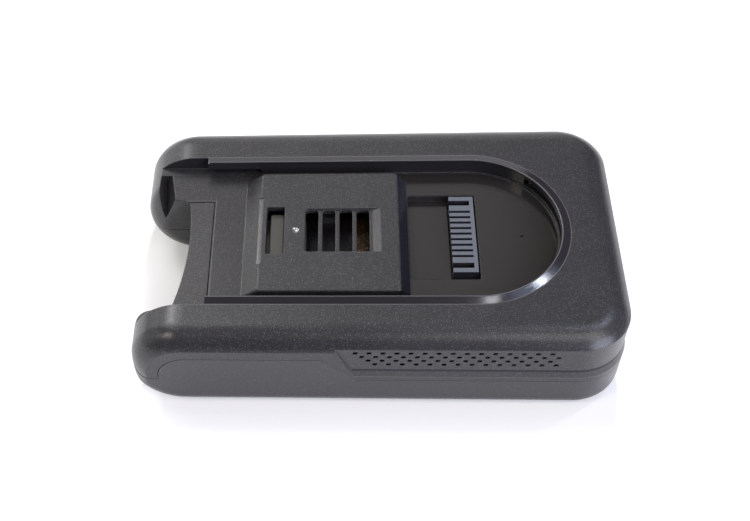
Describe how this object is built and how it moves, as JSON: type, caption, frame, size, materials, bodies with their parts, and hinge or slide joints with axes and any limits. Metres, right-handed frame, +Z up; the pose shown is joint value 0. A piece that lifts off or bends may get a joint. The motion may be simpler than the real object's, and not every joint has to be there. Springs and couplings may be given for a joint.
{
  "type": "vacuum cleaner battery",
  "caption": "Slide-on cordless vacuum battery with a D-shaped rail channel, comb connector, vented sides and a rocking release lever.",
  "frame": {"origin": "on the surface it stands on, under the middle of the pack's overall box", "axes": "+X along the pack to its closed D-shaped end, +Z up; the tool's foot slides in from -X"},
  "size_m": [0.1586, 0.0934, 0.0358],
  "materials": {
    "upper_shell": "satin, finely speckled charcoal",
    "lower_shell": "fine matte grain, charcoal",
    "lever_plastic": "satin charcoal",
    "steel": "bright drawn",
    "connector_plastic": "blue-grey filled nylon",
    "contact_brass": "plain brass",
    "board_laminate": "brown lacquered laminate",
    "chip_black": "moulded black",
    "capacitor_can": "drawn can",
    "cell_sleeve": "shrink sleeve",
    "holder_plastic": "natural white",
    "nickel": "nickel strip",
    "sheet_paper": "grey-brown insulating paper",
    "screw_steel": "black zinc"
  },
  "bodies": {
    "pack": {"upper_housing": "upper_shell", "lower_housing": "lower_shell", "lever_pin": "steel", "lever_spring": "steel", "connector_body": "connector_plastic", "signal_contacts": "contact_brass", "power_contacts": "contact_brass", "circuit_board": "board_laminate", "controller_chip": "chip_black", "power_switches": "chip_black", "current_shunt": "chip_black", "board_fuse": "chip_black", "board_capacitors": "capacitor_can", "board_screws": "screw_steel", "cell_holder_front": "holder_plastic", "cell_holder_rear": "holder_plastic", "nickel_strips_front": "nickel", "nickel_strips_rear": "nickel", "insulating_sheet_front": "sheet_paper", "insulating_sheet_rear": "sheet_paper", "insulating_paper": "sheet_paper", "housing_screws": "screw_steel", "battery_cell_1": "cell_sleeve", "battery_cell_2": "cell_sleeve", "battery_cell_3": "cell_sleeve", "battery_cell_4": "cell_sleeve", "battery_cell_5": "cell_sleeve", "battery_cell_6": "cell_sleeve", "battery_cell_7": "cell_sleeve"},
    "lever": {"release_lever": "lever_plastic"}
  },
  "joints": [
    {"name": "release_press", "type": "hinge", "parent": "pack", "child": "lever", "pos_m": [-0.04355, 0, 0.02475], "axis": [0, -1, 0], "range_deg": [0, 8], "stiffness_Nm_per_rad": 0.4, "springref_deg": -4.58, "deforming": ["lever_spring"]}
  ]
}
